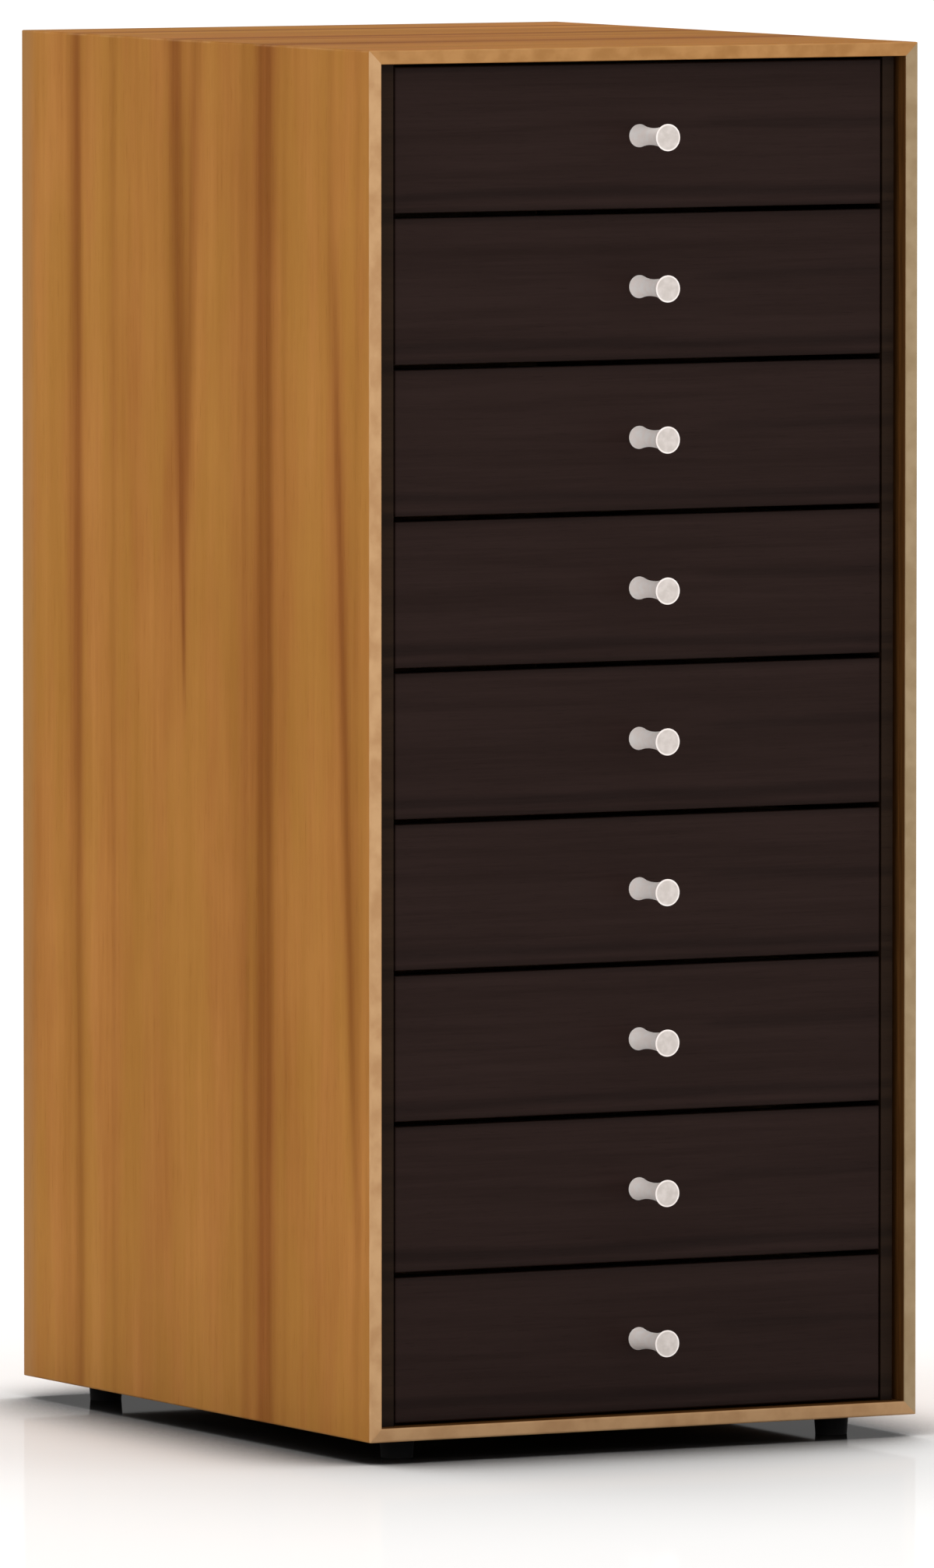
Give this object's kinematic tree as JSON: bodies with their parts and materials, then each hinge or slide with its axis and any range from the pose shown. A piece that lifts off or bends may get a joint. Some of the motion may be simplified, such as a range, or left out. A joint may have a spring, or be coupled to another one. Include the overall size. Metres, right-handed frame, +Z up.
{
  "type": "tabletop chest of drawers",
  "caption": "Tall narrow tabletop chest with a thin mitred wooden case, shallow dark drawers, hourglass metal pulls and low rubber feet.",
  "frame": {"origin": "centre of the chest's footprint, pulls included, on the surface that the feet stand on", "axes": "+Z up, the drawers open towards -Y, and X runs across the chest"},
  "size_m": [0.28, 0.3704, 0.634],
  "materials": {
    "case_wood": "oiled walnut-toned hardwood with dark reddish streaks, satin",
    "dark_wood": "very dark brown stained wood, fine grain, satin",
    "drawer_wood": "pale clear-lacquered hardwood",
    "pale_wood": "plain unfinished hardwood",
    "back_board": "veneered board, satin",
    "pull_metal": "satin silver",
    "screw_steel": "zinc-plated",
    "foot_rubber": "matt black"
  },
  "bodies": {
    "case": {"left_side": "case_wood", "right_side": "case_wood", "top_panel": "case_wood", "bottom_panel": "case_wood", "back_panel": "back_board", "mitre_splines": "pale_wood", "left_liner": "dark_wood", "right_liner": "dark_wood", "left_runners": "pale_wood", "right_runners": "pale_wood", "runner_screws": "screw_steel", "rear_stops": "pale_wood", "back_screws": "screw_steel", "feet": "foot_rubber", "foot_screws": "screw_steel"},
    "drawer_1": {"drawer_1_front": "dark_wood", "drawer_1_walls": "drawer_wood", "drawer_1_bottom": "drawer_wood", "drawer_1_pull": "pull_metal", "drawer_1_screw": "screw_steel"},
    "drawer_2": {"drawer_2_front": "dark_wood", "drawer_2_walls": "drawer_wood", "drawer_2_bottom": "drawer_wood", "drawer_2_pull": "pull_metal", "drawer_2_screw": "screw_steel"},
    "drawer_3": {"drawer_3_front": "dark_wood", "drawer_3_walls": "drawer_wood", "drawer_3_bottom": "drawer_wood", "drawer_3_pull": "pull_metal", "drawer_3_screw": "screw_steel"},
    "drawer_4": {"drawer_4_front": "dark_wood", "drawer_4_walls": "drawer_wood", "drawer_4_bottom": "drawer_wood", "drawer_4_pull": "pull_metal", "drawer_4_screw": "screw_steel"},
    "drawer_5": {"drawer_5_front": "dark_wood", "drawer_5_walls": "drawer_wood", "drawer_5_bottom": "drawer_wood", "drawer_5_pull": "pull_metal", "drawer_5_screw": "screw_steel"},
    "drawer_6": {"drawer_6_front": "dark_wood", "drawer_6_walls": "drawer_wood", "drawer_6_bottom": "drawer_wood", "drawer_6_pull": "pull_metal", "drawer_6_screw": "screw_steel"},
    "drawer_7": {"drawer_7_front": "dark_wood", "drawer_7_walls": "drawer_wood", "drawer_7_bottom": "drawer_wood", "drawer_7_pull": "pull_metal", "drawer_7_screw": "screw_steel"},
    "drawer_8": {"drawer_8_front": "dark_wood", "drawer_8_walls": "drawer_wood", "drawer_8_bottom": "drawer_wood", "drawer_8_pull": "pull_metal", "drawer_8_screw": "screw_steel"},
    "drawer_9": {"drawer_9_front": "dark_wood", "drawer_9_walls": "drawer_wood", "drawer_9_bottom": "drawer_wood", "drawer_9_pull": "pull_metal", "drawer_9_screw": "screw_steel"}
  },
  "joints": [
    {"name": "drawer_1_slide", "type": "slide", "parent": "case", "child": "drawer_1", "axis": [0, -1, 0], "range_m": [0, 0.25]},
    {"name": "drawer_2_slide", "type": "slide", "parent": "case", "child": "drawer_2", "axis": [0, -1, 0], "range_m": [0, 0.25]},
    {"name": "drawer_3_slide", "type": "slide", "parent": "case", "child": "drawer_3", "axis": [0, -1, 0], "range_m": [0, 0.25]},
    {"name": "drawer_4_slide", "type": "slide", "parent": "case", "child": "drawer_4", "axis": [0, -1, 0], "range_m": [0, 0.25]},
    {"name": "drawer_5_slide", "type": "slide", "parent": "case", "child": "drawer_5", "axis": [0, -1, 0], "range_m": [0, 0.25]},
    {"name": "drawer_6_slide", "type": "slide", "parent": "case", "child": "drawer_6", "axis": [0, -1, 0], "range_m": [0, 0.25]},
    {"name": "drawer_7_slide", "type": "slide", "parent": "case", "child": "drawer_7", "axis": [0, -1, 0], "range_m": [0, 0.25]},
    {"name": "drawer_8_slide", "type": "slide", "parent": "case", "child": "drawer_8", "axis": [0, -1, 0], "range_m": [0, 0.25]},
    {"name": "drawer_9_slide", "type": "slide", "parent": "case", "child": "drawer_9", "axis": [0, -1, 0], "range_m": [0, 0.25]}
  ]
}
